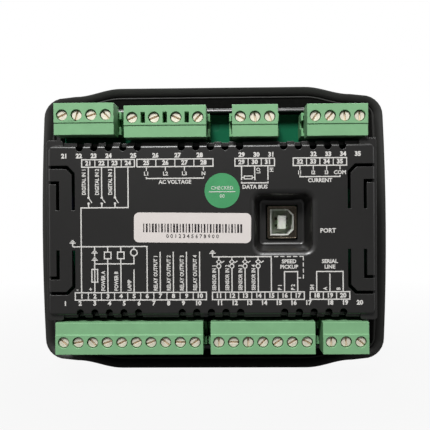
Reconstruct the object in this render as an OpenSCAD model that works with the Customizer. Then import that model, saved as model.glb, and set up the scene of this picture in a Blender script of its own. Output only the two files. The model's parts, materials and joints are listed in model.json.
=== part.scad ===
// Panel-mounted genset controller with pluggable screw terminals on its back.
// Millimetres. Seen from behind, +X is right and +Z is up, and +Y points to the display.
// The origin is the centre of the panel seat: the panel's front face lies in the plane y = 0.

/* [Case] */
// Height of the case body that passes through the panel cut-out
body_h = 89; // [84:0.5:100]
// Depth from the panel seat to the flat back of the case
case_depth = 33; // [30:0.5:40]
// Wall thickness of the rear cover
wall = 1.4; // [1:0.1:2]
// Radius of the upright corners of the case body
body_r = 2.2; // [1:0.1:3]
// Free space between a terminal row and the end walls of the case
row_end_gap = 0.7; // [0.4:0.1:10]
// Thickness of the flat back plate
back_t = 2.2; // [1.5:0.1:3]
// Rounding along the edges of the back plate
back_edge_r = 0.9; // [0.2:0.1:1]
// Step from the side wall in to the raised back plate
back_inset = 0.85; // [0.5:0.05:1.5]
// Height of the raised back plate above the side rim
back_raise = 1.2; // [0.8:0.1:1.6]
// Width of the ledge between the back plate and a terminal pocket
ledge_w = 1.2; // [0.8:0.1:2]
// Depth of that ledge below the back plate
ledge_drop = 2.5; // [1.8:0.1:4]
// Height of the pocket walls above the main board
pocket_wall_h = 5.3; // [3:0.1:8]
// Width of the corner blocks beside the terminal pockets
post_block_w = 5.8; // [4:0.1:7]
// Height of the corner blocks past the back plate
post_block_h = 2; // [1.4:0.1:2.2]

/* [Back details] */
// Width of the vent notches along the back plate
notch_w = 2.5; // [1.5:0.1:3]
// Depth of the notches into the back plate
notch_depth = 2; // [1.3:0.1:3]
// Distance between neighbouring notches
notch_pitch = 5.08; // [4:0.01:5.5]
// Length of the notches down the wall
notch_run = 6; // [4:0.5:10]
// Width of the bent slits beside the clip channels
groove_w = 1.1; // [0.6:0.1:1.4]
// Depth of those slits in the side rim, where they run out
groove_depth = 1.2; // [0.5:0.1:1.2]
// Distance from the back plate's edge to the outer slit
groove_outer = 7.5; // [6:0.1:9]
// Distance from the back plate's edge to the inner slit
groove_inner = 12.9; // [11:0.1:14]
// Reach of the outer slit from the side of the back plate
groove_outer_reach = 8.75; // [7:0.05:10]
// Reach of the inner slit from the side of the back plate
groove_inner_reach = 3.25; // [2:0.05:5]
// Half of the plain stretch between the upper and lower slits
groove_gap = 7; // [5:0.5:9]
// Corner cut of the outer slit
groove_chamfer = 2.6; // [1:0.1:4]

/* [Service socket] */
// Place of the service socket to the right of the centre
usb_x = 25.2; // [20:0.1:30]
// Place of the service socket above the centre
usb_z = 2.3; // [-4:0.1:6]
// Width and height of the recess around the socket
recess_size = 20.2; // [18:0.1:24]
// Inward slope of each recess wall
recess_taper = 2; // [0.5:0.1:2.4]
// Corner radius of the recess
recess_r = 2.6; // [2.5:0.1:4]
// Width of the socket's metal shell
usb_w = 10.6; // [10:0.1:12]
// Height of the socket's metal shell
usb_h = 11.8; // [11.4:0.1:13]
// Length of the socket from the main board to its mouth
usb_len = 14; // [12:0.5:16]
// Sheet thickness of the socket's shell
usb_sheet = 0.4; // [0.3:0.05:0.6]
// Height of the shell's rim over its face
usb_rim = 0.6; // [0.3:0.1:1]
// How far the socket stands out of the recess floor
usb_proud = 1; // [0.5:0.1:2]

/* [Terminals] */
// Poles of the supply and output block
power_poles = 10; // [4:1:11]
// Poles of the sensor block
sensor_poles = 7; // [3:1:8]
// Poles of the serial line block
serial_poles = 3; // [2:1:4]
// Poles of the switched input block
input_poles = 4; // [2:1:5]
// Poles of the generator voltage block
voltage_poles = 4; // [2:1:4]
// Poles of the data bus block
bus_poles = 3; // [2:1:4]
// Poles of the current transformer block
current_poles = 4; // [2:1:5]
// Distance between the poles of a standard block
pitch = 5.08; // [5:0.01:5.2]
// Distance between the poles of the voltage block
wide_pitch = 7.62; // [7:0.01:8]
// Gap between the headers in the lower row
low_gap = 0.6; // [0.4:0.1:2]
// Gap between the input and voltage headers
input_gap = 1.5; // [0.5:0.1:3]
// Gap between the voltage and bus headers
voltage_gap = 7; // [2:0.5:10]
// Gap between the bus and current headers
bus_gap = 8; // [2:0.5:10]
// Offset of the input block towards the outer wall
input_shift = 1.1; // [0:0.1:1.1]
// Space between a header and the pocket's outer wall
header_wall_gap = 1.5; // [1:0.1:3]
// Space between a header and the ledge of the back plate
header_ledge_gap = 2.5; // [1.5:0.1:4]
// Depth of a header across its row
header_d = 8.4; // [7.5:0.1:9.5]
// Height of a header above the main board
header_h = 12; // [10:0.5:13]
// Long wall of a header
header_wall = 1; // [0.7:0.1:1.3]
// End wall of a header
header_end_wall = 0.8; // [0.6:0.1:1.2]
// Floor of a header
header_floor = 2.5; // [1.5:0.1:4]
// Plug body beyond the end poles
plug_end = 2.85; // [2.6:0.05:3.5]
// Height of a plug above its header
plug_h = 11; // [10:0.5:13]
// Overhang of the plug on the wire side
plug_out = 1.6; // [1:0.1:2.5]
// Overhang of the plug on the case side
plug_in = 1.1; // [0.5:0.1:1.4]
// Gap between a plug's tongue and its header
plug_clearance = 0.3; // [0.2:0.05:0.5]
// Width of the lower strip beside the screw zone
strip_w = 4.2; // [3:0.1:4.6]
// Depth of that strip below the screw zone
strip_drop = 0.35; // [0.2:0.05:0.6]
// Distance from the wire side of a plug to its screws
screw_inset = 4.2; // [3.8:0.1:4.4]
// Bore above a terminal screw
screw_bore_d = 3.9; // [3.7:0.05:4.1]
// Head of a terminal screw
screw_head_d = 3.4; // [3:0.05:3.6]
// Height of the screw head
screw_head_h = 1.6; // [1.2:0.1:2]
// Depth of the screw head below the plug's face
screw_sink = 0.9; // [0.5:0.1:2.1]
// Width of the screw slot
screw_slot_w = 0.6; // [0.5:0.05:1]
// Shank of a terminal screw
screw_shank_d = 2.4; // [2:0.1:2.6]
// Width of a wire clamp
clamp_w = 4; // [3.8:0.05:4.2]
// Sheet of a wire clamp
clamp_sheet = 0.6; // [0.4:0.05:0.7]
// Length of a wire clamp along its screw
clamp_len = 6; // [5:0.1:6.5]
// Thickness of a header pin
pin_w = 1; // [0.8:0.05:1.2]
// Height of a wire entry
wire_h = 3.2; // [2.6:0.1:3.6]
// Width of the barrier slots in the voltage plug
barrier_w = 1.45; // [1:0.05:2]
// Height of the barrier slots
barrier_h = 3.7; // [3:0.1:4]
// Depth of the barrier slots
barrier_depth = 8; // [3:0.5:9]
// Width of the key slot in the end walls of a header
key_slot_w = 2.8; // [2:0.1:4]
// Depth of that key slot
key_slot_depth = 5; // [3:0.5:7]

/* [Boards] */
// Depth of the main board's wiring face behind the panel seat
board_depth = 11; // [10:0.5:12]
// Thickness of the circuit boards
board_t = 1.6; // [1:0.1:2]
// Gap between the main board and the case walls
board_gap = 0.4; // [0.2:0.1:0.8]
// Distance of the board spacers from the sides of the case body
spacer_inset = 14; // [13:0.5:16]
// Diameter of the board spacers
spacer_d = 6; // [5:0.5:7]
// Height of the output relays
relay_h = 15; // [10:0.5:16]
// Height of the current sensors
sensor_h = 14; // [10:0.5:16]
// Diameter of the capacitors
cap_d = 8; // [6:0.5:9]

/* [Bezel] */
// Width of the bezel beyond the case body on each side
flange_x = 10; // [8:0.5:14]
// Height of the bezel beyond the case body, above and below
flange_z = 10.5; // [9.5:0.5:14]
// Thickness of the bezel in front of the panel
bezel_t = 10; // [9.5:0.5:14]
// Rounding of the bezel's front edge
bezel_edge_r = 3; // [1:0.5:4]
// Half length of the straight middle of the wavy top edge
wave_flat = 36; // [28:1:40]
// Half length at which the wave ends
wave_end = 54; // [48:1:56]
// Drop of the wave from the middle to the shoulder
wave_drop = 3; // [1:0.25:4]
// Corner radius of the bezel
bezel_r = 8; // [6.5:0.5:10]
// Bow of the bezel's left and right sides
side_bow = 1; // [0:0.25:2]
// Slope of the shoulder down to the corner
shoulder_drop = 0.5; // [0.25:0.25:1]
// Width of the flat lip that meets the panel
lip_w = 3; // [2:0.1:3.4]
// Width of the fine groove inside the lip
lip_groove_w = 0.7; // [0.4:0.1:1]
// Width of the ridge between groove and gasket
ridge_w = 0.5; // [0.4:0.1:1]
// Depth of the gasket channel
channel_depth = 1.5; // [1:0.1:2.5]
// Clearance around the gasket and the face overlay
seal_gap = 0.3; // [0.2:0.05:0.5]
// Depth of the gasket's face below the panel seat
gasket_sink = 0.2; // [0.1:0.05:0.5]
// Height of the spigot that centres the rear cover
spigot_h = 3; // [2:0.5:5]
// Thickness of that spigot
spigot_t = 1.6; // [1.2:0.1:2]
// Clearance between the spigot and the rear cover
spigot_gap = 0.2; // [0.1:0.05:0.4]

/* [Front] */
// Thickness of the bezel's front wall
front_wall = 2; // [1.5:0.1:2.5]
// Thickness of the face overlay
overlay_t = 0.5; // [0.3:0.1:0.8]
// Margin of the bezel around the face overlay
overlay_margin = 5.5; // [5:0.25:6]
// Width of the visible display
view_w = 64; // [50:1:66]
// Height of the visible display
view_h = 36; // [28:1:38]
// Place of the display beside the centre
view_x = 8; // [6:0.5:9]
// Place of the display above the centre
view_z = 15; // [14:0.5:16]
// Flange of the display window behind the front wall
window_flange = 2; // [1:0.25:2.5]
// Thickness of that flange
window_flange_t = 0.7; // [0.5:0.1:1]
// Frame of the display module around the window
display_frame = 5; // [3:0.5:5.5]
// Thickness of the display module
display_t = 4.2; // [3.4:0.1:4.4]
// Diameter of the control keys in the lower row
key_d = 14; // [10:0.5:15]
// Diameter of the menu keys beside the display
menu_key_d = 10; // [8:0.5:11]
// Flange that holds a key behind the front wall
key_flange = 1.5; // [1:0.1:2]
// Thickness of the key flange
key_flange_t = 1; // [0.8:0.1:1.4]
// Height of a key above the overlay
key_proud = 0.6; // [0.3:0.1:1]
// Travel of a key
key_travel = 0.8; // [0.3:0.1:1]
// Clearance around a key
key_gap = 0.3; // [0.2:0.05:0.5]
// Distance of the outer keys from the side of the case body
key_edge_x = 15.5; // [13.5:0.5:18]
// Distance of the lower keys from the bottom of the case body
key_edge_z = 17.5; // [14:0.5:19]
// Distance of the first menu key from the top of the case body
menu_edge_z = 15.5; // [13:0.5:17]
// Distance between the menu keys
menu_pitch = 15; // [14:0.5:16]
// Diameter of an indicator lens
led_d = 3; // [2:0.25:4]
// Height of the indicator row above the lower keys
led_rise = 13; // [11:0.5:14]
// Distance of the front board's screws from the sides of the case body
post_inset = 7; // [6.8:0.1:7.5]
// Diameter of the posts that carry the front board
post_d = 5.6; // [5:0.1:6]
// Thread of the front board's screws
tap_d = 2; // [1.6:0.1:2.4]
// Head of the front board's screws
tap_head_d = 4; // [3.6:0.1:4.6]
// Height of that head
tap_head_h = 1.5; // [1:0.1:2]
// Length of the thread in its post
tap_grip = 3; // [2:0.5:4]

/* [Stickers] */
// Width of the white label
label_w = 40.7; // [30:0.1:44]
// Height of the white label
label_h = 10.4; // [8:0.1:12]
// Corner radius of the white label
label_r = 1.8; // [0.5:0.1:3]
// Place of the label beside the centre
label_x = -6.4; // [-10:0.1:-4]
// Place of the label above the centre
label_z = 0.7; // [-2:0.1:1.5]
// Tilt of the label as it was stuck on
label_tilt = 0.75; // [-2:0.25:2]
// Diameter of the round sticker
sticker_d = 12.2; // [8:0.1:13]
// Place of the round sticker beside the centre
sticker_x = 4; // [0:0.1:6]
// Place of the round sticker above the centre
sticker_z = 13.5; // [13.2:0.1:18]
// Thickness of the stickers
film_t = 0.15; // [0.1:0.05:0.3]

/* [Hidden] */
$fn = 48;
// Overlap of a cutter past the face that it opens
cut = 0.5;

// Terminal blocks of each row from left to right: name, poles, pitch, offset to the outer wall,
// and the angle of each screw slot, counted from the outer wall
LOWER = [
    ["power", power_poles, pitch, 0, [40, -10, 45, -20, -25, -25, -20, 40, 0, -35]],
    ["sensors", sensor_poles, pitch, 0, [-95, 0, 90, -45, -35, -30, 30]],
    ["serial", serial_poles, pitch, 0, [90, -95, 40]]];
UPPER = [
    ["inputs", input_poles, pitch, input_shift, [25, 75, 18, -50]],
    ["voltage", voltage_poles, wide_pitch, 0, [25, 22, -25, 48]],
    ["bus", bus_poles, pitch, 0, [-30, 100, -70]],
    ["current", current_poles, pitch, 0, [55, 50, 95, 90]]];
LOWER_GAPS = [low_gap, low_gap];
UPPER_GAPS = [input_gap, voltage_gap, bus_gap];

// Lengths along a terminal row
end_play = 0.2;
header_end = header_end_wall + end_play;
tongue_gap = 0.8;
function span(b) = (b[1] - 1) * b[2];
function header_len(b) = span(b) + 2 * (plug_end + header_end);
function sum_to(list, n, i = 0) = i >= n ? 0 : list[i] + sum_to(list, n, i + 1);
function lengths(row) = [for (b = row) header_len(b)];
function row_len(row, gaps) = sum_to(lengths(row), len(row)) + sum_to(gaps, len(gaps));
function first_pole(row, gaps, i) = -row_len(row, gaps) / 2 + sum_to(lengths(row), i)
    + sum_to(gaps, i) + header_end + plug_end;

// Case body and bezel
body_w = max(row_len(LOWER, LOWER_GAPS), row_len(UPPER, UPPER_GAPS)) + 2 * (row_end_gap + wall);
half_w = body_w / 2;
half_h = body_h / 2;
bezel_hw = half_w + flange_x;
bezel_hh = half_h + flange_z;

// Terminal rows across the case, given for the upper row
header_z1 = half_h - wall - header_wall_gap;
header_z0 = header_z1 - header_d;
pin_z = (header_z0 + header_z1) / 2;
plug_z1 = header_z1 + plug_out;
plug_z0 = header_z0 - plug_in;
screw_z = plug_z1 - screw_inset;
ledge_z = header_z0 - header_ledge_gap;
back_hh = ledge_z - ledge_w;
back_hw = half_w - back_inset;

// Levels from the display to the back, all measured from the panel seat
y_back = -case_depth;
y_board = -board_depth;
y_rim = y_board - pocket_wall_h;
y_header = y_board - header_h;
y_plug = y_header - plug_h;
y_header_floor = y_board - header_floor;
y_tongue = y_header_floor - tongue_gap;
y_head = y_plug + screw_sink;
y_clamp = y_head + screw_head_h;
y_usb = y_board - usb_len;
y_usb_face = y_usb + usb_rim + usb_sheet;
y_recess = y_usb + usb_proud;
y_wall_out = bezel_t - overlay_t;
y_wall_in = y_wall_out - front_wall;
y_display = y_wall_in - window_flange_t;
y_front_board = y_display - display_t;

// Openings and inner sizes
in_w = half_w - wall;
in_h = half_h - wall;
open_w = in_w - spigot_gap - spigot_t;
open_h = in_h - spigot_gap - spigot_t;
post_x = half_w - post_inset;
post_z = half_h - post_inset;
key_x = half_w - key_edge_x;
key_z = -half_h + key_edge_z;
menu_z = half_h - menu_edge_z;
clamp_gap = 0.1;
clamp_top = 1.4;
clamp_hole = clamp_w - 2 * clamp_sheet;
y_wire = y_clamp + clamp_top;
pin_gap = 0.2;
pin_hole = pin_w + pin_gap;
pin_tail = 1.2;
pin_sink = 3;
spring_room = 0.8;
contact_hole = pin_w + spring_room;
thread_gap = 0.1;
screw_room = 0.6;

// Colours as the object shows them
CASE = "#302f2e";
GREEN = "#86b98a";
BOARD = "#17583e";
NICKEL = "#d9d3c6";
STEEL = "#8c8880";

// Plates and rods that lie in the plane of the panel
module plate(y0, y1) translate([0, y1, 0]) rotate([90, 0, 0]) linear_extrude(y1 - y0) children();
module rod(x, z, y0, y1, d) translate([x, y1, z]) rotate([90, 0, 0]) cylinder(h = y1 - y0, d = d);
module box(x0, x1, y0, y1, z0, z1) translate([x0, y0, z0]) cube([x1 - x0, y1 - y0, z1 - z0]);

module round_rect(w, h, r) {
    square([w - 2 * r, h], center = true);
    square([w, h - 2 * r], center = true);
    for (sx = [-1, 1], sz = [-1, 1]) translate([sx * (w / 2 - r), sz * (h / 2 - r)]) circle(r);
}

// Bar along X or Z whose back edges are rounded
module rounded_bar(half, y0, y1, r) {
    polygon([[y0 + r, -half], [y1, -half], [y1, half], [y0 + r, half]]);
    polygon([[y0, -half + r], [y1, -half + r], [y1, half - r], [y0, half - r]]);
    for (s = [-1, 1]) translate([y0 + r, s * (half - r)]) circle(r);
}

// Bezel outline: one quarter from the top centre to the right side, then mirrored
WAVE_STEPS = 10;
CORNER_STEPS = 7;
SIDE_STEPS = 4;
corner_x = bezel_hw - side_bow - bezel_r;
corner_z = bezel_hh - wave_drop - shoulder_drop - bezel_r;
function quarter(d) = concat(
    [for (i = [0:WAVE_STEPS]) [wave_flat + (wave_end - wave_flat) * i / WAVE_STEPS,
        bezel_hh - d - wave_drop * (1 - cos(180 * i / WAVE_STEPS)) / 2]],
    [for (i = [0:CORNER_STEPS]) let (a = 90 - 90 * i / CORNER_STEPS)
        [corner_x + (bezel_r - d) * cos(a), corner_z + (bezel_r - d) * sin(a)]],
    [for (i = [1:SIDE_STEPS]) let (t = 1 - i / SIDE_STEPS)
        [bezel_hw - d - side_bow * t * t, corner_z * t]]);
function flipped(list) = [for (i = [len(list) - 1:-1:0]) list[i]];
function half_outline(d) = let (q = quarter(d), n = len(q))
    concat(q, [for (i = [n - 2:-1:0]) [q[i][0], -q[i][1]]]);
function outline(d) = let (h = half_outline(d)) concat(h, [for (p = flipped(h)) [-p[0], p[1]]]);
module bezel_outline(d) polygon(outline(d));

// Solid bezel: the outline drawn in step by step around its rolled front edge
EDGE_STEPS = 4;
module bezel_blank() {
    step = 90 / EDGE_STEPS;
    plate(0, bezel_t - bezel_edge_r) bezel_outline(0);
    for (i = [0:EDGE_STEPS - 1]) plate(0, bezel_t - bezel_edge_r * (1 - sin((i + 1) * step)))
        bezel_outline(bezel_edge_r * (1 - cos((i + 0.5) * step)));
}

// Keys: name, place, diameter, colour; menu keys stand beside the display
KEY_ROW = [["key_stop", "#b3322c"], ["key_manual", "#8f9294"], ["key_auto", "#8f9294"],
    ["key_start", "#3d8a4a"]];
MENU_KEYS = ["key_up", "key_enter", "key_down"];
KEYS = concat(
    [for (i = [0:3]) [KEY_ROW[i][0], key_x * (1 - 2 * i / 3), key_z, key_d, KEY_ROW[i][1]]],
    [for (i = [0:2]) [MENU_KEYS[i], -key_x, menu_z - i * menu_pitch, menu_key_d, "#6f7274"]]);
LEDS = [for (i = [0:3]) [key_x * (1 - 2 * i / 3), key_z + led_rise]];
POSTS = [for (sx = [-1, 1], sz = [-1, 1]) [sx * post_x, sz * post_z]];

module face_openings(extra) {
    translate([view_x, view_z]) square([view_w + 2 * extra, view_h + 2 * extra], center = true);
    for (k = KEYS) translate([k[1], k[2]]) circle(d = k[3] + 2 * key_gap);
    for (p = LEDS) translate(p) circle(d = led_d + 2 * extra);
}

module front_bezel() color(CASE) difference() {
    union() {
        difference() {
            bezel_blank();
            // Fine groove and gasket channel behind the lip
            plate(-cut, channel_depth) difference() {
                bezel_outline(lip_w);
                bezel_outline(lip_w + lip_groove_w);
            }
            plate(-cut, channel_depth) bezel_outline(lip_w + lip_groove_w + ridge_w);
            // Cavity for the display and the keys
            plate(-cut, y_wall_in) round_rect(2 * open_w, 2 * open_h, body_r);
            // Seat of the face overlay and its openings
            plate(y_wall_out, bezel_t + cut) bezel_outline(overlay_margin);
            plate(y_wall_in - cut, bezel_t) face_openings(seal_gap / 2);
        }
        // Spigot that centres the rear cover
        plate(-spigot_h + channel_depth, channel_depth) difference() {
            round_rect(2 * (in_w - spigot_gap), 2 * (in_h - spigot_gap), body_r);
            round_rect(2 * open_w, 2 * open_h, body_r);
        }
        for (p = POSTS) rod(p[0], p[1], y_front_board, y_wall_in, post_d);
    }
    for (p = POSTS) rod(p[0], p[1], y_front_board - cut, y_wall_in, tap_d + thread_gap);
}

module face_overlay() color("#5d6164") plate(y_wall_out, bezel_t) difference() {
    bezel_outline(overlay_margin + seal_gap);
    face_openings(seal_gap / 2);
}

module display_window() color("#9fb0a8") translate([view_x, 0, view_z]) {
    plate(y_display, y_wall_in) square([view_w + 2 * window_flange, view_h + 2 * window_flange],
        center = true);
    plate(y_wall_in, bezel_t - seal_gap / 2) square([view_w, view_h], center = true);
}

// The display's frame has a notch for a clip on each side
clip_d = 3;
clip_w = 4;
module display_module() color("#7d8f6a") translate([view_x, 0, view_z])
    plate(y_front_board, y_display) difference() {
        square([view_w + 2 * display_frame, view_h + 2 * display_frame], center = true);
        for (s = [-1, 1]) translate([s * (view_w / 2 + display_frame), -view_h / 4])
            square([clip_d, clip_w], center = true);
    }

module front_board() color(BOARD) plate(y_front_board - board_t, y_front_board) difference() {
    round_rect(2 * (open_w - board_gap), 2 * (open_h - board_gap), body_r);
    for (p = POSTS) translate(p) circle(d = tap_d + screw_room);
}

module board_screws() color(STEEL) for (p = POSTS) {
    y_seat = y_front_board - board_t;
    difference() {
        rod(p[0], p[1], y_seat - tap_head_h, y_seat, tap_head_d);
        translate([p[0], y_seat - tap_head_h, p[1]])
            cube([tap_d + screw_room, tap_head_h, tap_d / 3], center = true);
    }
    rod(p[0], p[1], y_seat, y_front_board + tap_grip, tap_d);
}

// A pressed key stops just short of its switch
stem_h = 0.6;
stem_d = 4;
stop_gap = 0.1;
switch_w = 6;
plunger_h = 0.4;
plunger_d = 3.5;
y_key_back = y_wall_in - key_flange_t - stem_h;
y_plunger = y_key_back - key_travel - stop_gap;
module tact_switches() color("#3a3a3a") for (k = KEYS) translate([k[1], 0, k[2]]) {
    box(-switch_w / 2, switch_w / 2, y_front_board, y_plunger - plunger_h, -switch_w / 2, switch_w / 2);
    rod(0, 0, y_plunger - plunger_h, y_plunger, plunger_d);
}

dish_r = 24;
dish_depth = 0.3;
module key(k) color(k[4]) {
    difference() {
        rod(k[1], k[2], y_wall_in, bezel_t + key_proud, k[3]);
        // Shallow finger dish
        translate([k[1], bezel_t + key_proud + dish_r - dish_depth, k[2]]) sphere(r = dish_r, $fn = 64);
    }
    rod(k[1], k[2], y_wall_in - key_flange_t, y_wall_in, k[3] + 2 * key_flange);
    rod(k[1], k[2], y_key_back, y_wall_in - key_flange_t, stem_d);
}

// Light pipes from the front board, with a collar behind the front wall
collar = 0.5;
module indicator_lenses() color("#d8d2a0") for (p = LEDS) {
    rod(p[0], p[1], y_wall_in, bezel_t, led_d);
    rod(p[0], p[1], y_front_board, y_wall_in, led_d + 2 * collar);
}

module panel_gasket() color("#191919") plate(gasket_sink, channel_depth) difference() {
    bezel_outline(lip_w + lip_groove_w + ridge_w + seal_gap);
    square([body_w + 2 * seal_gap, body_h + 2 * seal_gap], center = true);
}

// Three groups of five notches along each long edge of the back plate
NOTCHES = [for (g = [-1:1], i = [-2:2]) (7 * g + i) * notch_pitch];
module notch_cut() {
    depth = back_hh - notch_depth;
    for (x = NOTCHES) {
        box(x - notch_w / 2, x + notch_w / 2, y_back - cut, y_back + notch_run,
            depth + notch_w / 2, ledge_z + cut);
        rod(x, depth + notch_w / 2, y_back - cut, y_back + notch_run, notch_w);
    }
}

// Pair of bent slits in one corner of the back plate, run out to this half width
module groove_pair(reach) {
    oz = back_hh - groove_outer;
    iz = back_hh - groove_inner;
    ox = back_hw - groove_outer_reach;
    ix = back_hw - groove_inner_reach;
    w = groove_w / 2;
    c = groove_chamfer;
    polygon([[reach, oz + w], [ox - w + c, oz + w], [ox - w, oz + w - c], [ox - w, groove_gap],
        [ox + w, groove_gap], [ox + w, oz - c], [ox + c, oz - w], [reach, oz - w]]);
    polygon([[reach, iz + w], [ix - w, iz + w], [ix - w, groove_gap], [ix + w, groove_gap],
        [ix + w, iz - w], [reach, iz - w]]);
}

// Square recess that narrows to its floor, with the way through for the socket
floor_slice = 0.1;
module recess_cut() translate([usb_x, 0, usb_z]) {
    hull() {
        plate(y_back - cut, y_back) round_rect(recess_size, recess_size, recess_r, $fn = 32);
        plate(y_recess - floor_slice, y_recess)
            round_rect(recess_size - 2 * recess_taper, recess_size - 2 * recess_taper,
                recess_r - recess_taper / 2, $fn = 32);
    }
    plate(y_recess - cut, y_recess + wall + cut)
        square([usb_w + 2 * seal_gap, usb_h + 2 * seal_gap], center = true);
}

module rear_cover() color(CASE) difference() {
    union() {
        // Wall around the boards
        plate(y_rim, channel_depth) difference() {
            round_rect(body_w, body_h, body_r);
            square([2 * in_w, 2 * in_h], center = true);
        }
        // Raised middle with its ledges and its rounded back plate
        difference() {
            union() {
                plate(y_back + ledge_drop, y_board) square([body_w, 2 * ledge_z], center = true);
                plate(y_back + back_raise, y_board) round_rect(body_w, 2 * back_hh, body_r);
                intersection() {
                    plate(y_back, y_board) round_rect(2 * back_hw, 2 * back_hh, body_r);
                    rotate([90, 0, 90]) linear_extrude(body_w, center = true)
                        rounded_bar(back_hh, y_back, y_board, back_edge_r);
                    mirror([1, 0, 0]) rotate([0, 0, 90]) linear_extrude(body_h, center = true)
                        rounded_bar(back_hw, y_back, y_board, back_edge_r);
                }
                for (sx = [-1, 1], sz = [-1, 1]) plate(y_back + back_raise, y_board)
                    translate([sx * (half_w - post_block_w / 2), sz * back_hh])
                        round_rect(post_block_w, 2 * post_block_h, post_block_h / 2);
            }
            box(-in_w, in_w, y_back + back_t, y_board + cut, -ledge_z + wall, ledge_z - wall);
        }
        // Tub around the service socket
        plate(y_back + back_t - cut, y_recess + wall) translate([usb_x, usb_z])
            square(recess_size + 2 * wall, center = true);
    }
    for (s = [0, 1]) mirror([0, 0, s]) {
        notch_cut();
        for (t = [0, 1]) mirror([t, 0, 0]) {
            plate(y_back - cut, y_back + groove_depth) groove_pair(half_w + cut);
            plate(y_back, y_back + back_t + cut) groove_pair(in_w);
        }
    }
    recess_cut();
}

module in_rows() {
    for (i = [0:len(UPPER) - 1]) translate([first_pole(UPPER, UPPER_GAPS, i), 0, UPPER[i][3]]) {
        $block = UPPER[i];
        children();
    }
    for (i = [0:len(LOWER) - 1]) mirror([0, 0, 1])
        translate([first_pole(LOWER, LOWER_GAPS, i), 0, LOWER[i][3]]) {
            $block = LOWER[i];
            children();
        }
}

module one_row(name) in_rows() if ($block[0] == name) children();
module poles() for (i = [0:$block[1] - 1]) translate([i * $block[2], 0, 0]) {
    $pole = i;
    children();
}

module pin_cut() translate([0, y_board, pin_z])
    cube([pin_hole, 2 * (header_floor + board_t), pin_hole], center = true);

module main_board() color(BOARD) difference() {
    plate(y_board, y_board + board_t)
        square([2 * (in_w - board_gap), 2 * (in_h - board_gap)], center = true);
    in_rows() poles() pin_cut();
}

module header_pins() color(NICKEL) in_rows() poles()
    box(-pin_w / 2, pin_w / 2, y_header + pin_sink, y_board + board_t + pin_tail, pin_z - pin_w / 2,
        pin_z + pin_w / 2);

// Open shroud soldered to the main board
module header(name) color(GREEN) one_row(name) {
    x0 = -plug_end - header_end;
    x1 = span($block) + plug_end + header_end;
    difference() {
        box(x0, x1, y_header, y_board, header_z0, header_z1);
        box(x0 + header_end_wall, x1 - header_end_wall, y_header - cut, y_header_floor,
            header_z0 + header_wall, header_z1 - header_wall);
        // Key slot in both end walls
        box(x0 - cut, x1 + cut, y_header - cut, y_header + key_slot_depth, pin_z - key_slot_w / 2,
            pin_z + key_slot_w / 2);
        poles() pin_cut();
    }
}

// Screw terminal plug: wide head over the header, tongue in the shroud
module plug(name) color(GREEN) one_row(name) {
    x0 = -plug_end;
    x1 = span($block) + plug_end;
    fit = end_play - plug_clearance;
    tongue_d = header_d / 2 - header_wall - plug_clearance;
    difference() {
        union() {
            box(x0, x1, y_plug + strip_drop, y_header, plug_z0, plug_z1);
            box(x0, x1, y_plug, y_header, plug_z0 + strip_w, plug_z1);
            box(x0 - fit, x1 + fit, y_header - cut, y_tongue, pin_z - tongue_d, pin_z + tongue_d);
        }
        poles() {
            rod(0, screw_z, y_plug - cut, y_clamp, screw_bore_d);
            box(-clamp_w / 2 - clamp_gap, clamp_w / 2 + clamp_gap, y_clamp - clamp_gap,
                y_clamp + clamp_len + clamp_gap, screw_z - clamp_w / 2 - clamp_gap,
                screw_z + clamp_w / 2 + clamp_gap);
            // Wire entry with its lead-in
            box(-clamp_hole / 2, clamp_hole / 2, y_wire, y_wire + wire_h, screw_z, plug_z1 + cut);
            box(-clamp_w / 2, clamp_w / 2, y_wire - clamp_sheet, y_wire + wire_h + clamp_sheet,
                plug_z1 - clamp_sheet, plug_z1 + cut);
            // Contact hole for the header pin
            box(-contact_hole / 2, contact_hole / 2, y_header + plug_clearance, y_tongue + cut,
                pin_z - contact_hole / 2, pin_z + contact_hole / 2);
        }
        // The wide block has a barrier slot between its poles
        if ($block[2] > pitch) for (i = [1:$block[1] - 1]) translate([(i - 0.5) * $block[2], 0, screw_z])
            box(-barrier_w / 2, barrier_w / 2, y_plug - cut, y_plug + barrier_depth, -barrier_h / 2,
                barrier_h / 2);
    }
}

module screws(name) color(NICKEL) one_row(name) poles() {
    angle = $block[4][$pole % len($block[4])];
    difference() {
        rod(0, screw_z, y_head, y_clamp, screw_head_d);
        translate([0, y_head, screw_z]) rotate([0, -angle, 0])
            cube([2 * screw_head_d, screw_head_h, screw_slot_w], center = true);
    }
    rod(0, screw_z, y_clamp, y_wire, screw_shank_d);
}

module clamps(name) color(STEEL) one_row(name) poles() difference() {
    box(-clamp_w / 2, clamp_w / 2, y_clamp, y_clamp + clamp_len, screw_z - clamp_w / 2,
        screw_z + clamp_w / 2);
    box(-clamp_hole / 2, clamp_hole / 2, y_wire, y_clamp + clamp_len - clamp_sheet,
        screw_z - clamp_w, screw_z + clamp_w);
    rod(0, screw_z, y_clamp - cut, y_wire + cut, screw_shank_d + thread_gap);
}

// Service socket: metal shell, moulded insert with its tongue, four contacts
mouth_w = 8.4;
mouth_h = 9.4;
mouth_cut = 2;
mouth_gap = 0.05;
lip_t = 0.4;
collar_h = usb_rim + 2 * usb_sheet;
tongue_w = 2.9;
tongue_h = 4.7;
tongue_sink = 0.8;
shell_r = 0.8;
well = 9;
module mouth(d) polygon([[-mouth_w / 2 + d, -mouth_h / 2 + d],
    [mouth_w / 2 - mouth_cut - d / 2, -mouth_h / 2 + d], [mouth_w / 2 - d, -mouth_h / 2 + mouth_cut + d / 2],
    [mouth_w / 2 - d, mouth_h / 2 - mouth_cut - d / 2], [mouth_w / 2 - mouth_cut - d / 2, mouth_h / 2 - d],
    [-mouth_w / 2 + d, mouth_h / 2 - d]]);

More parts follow.
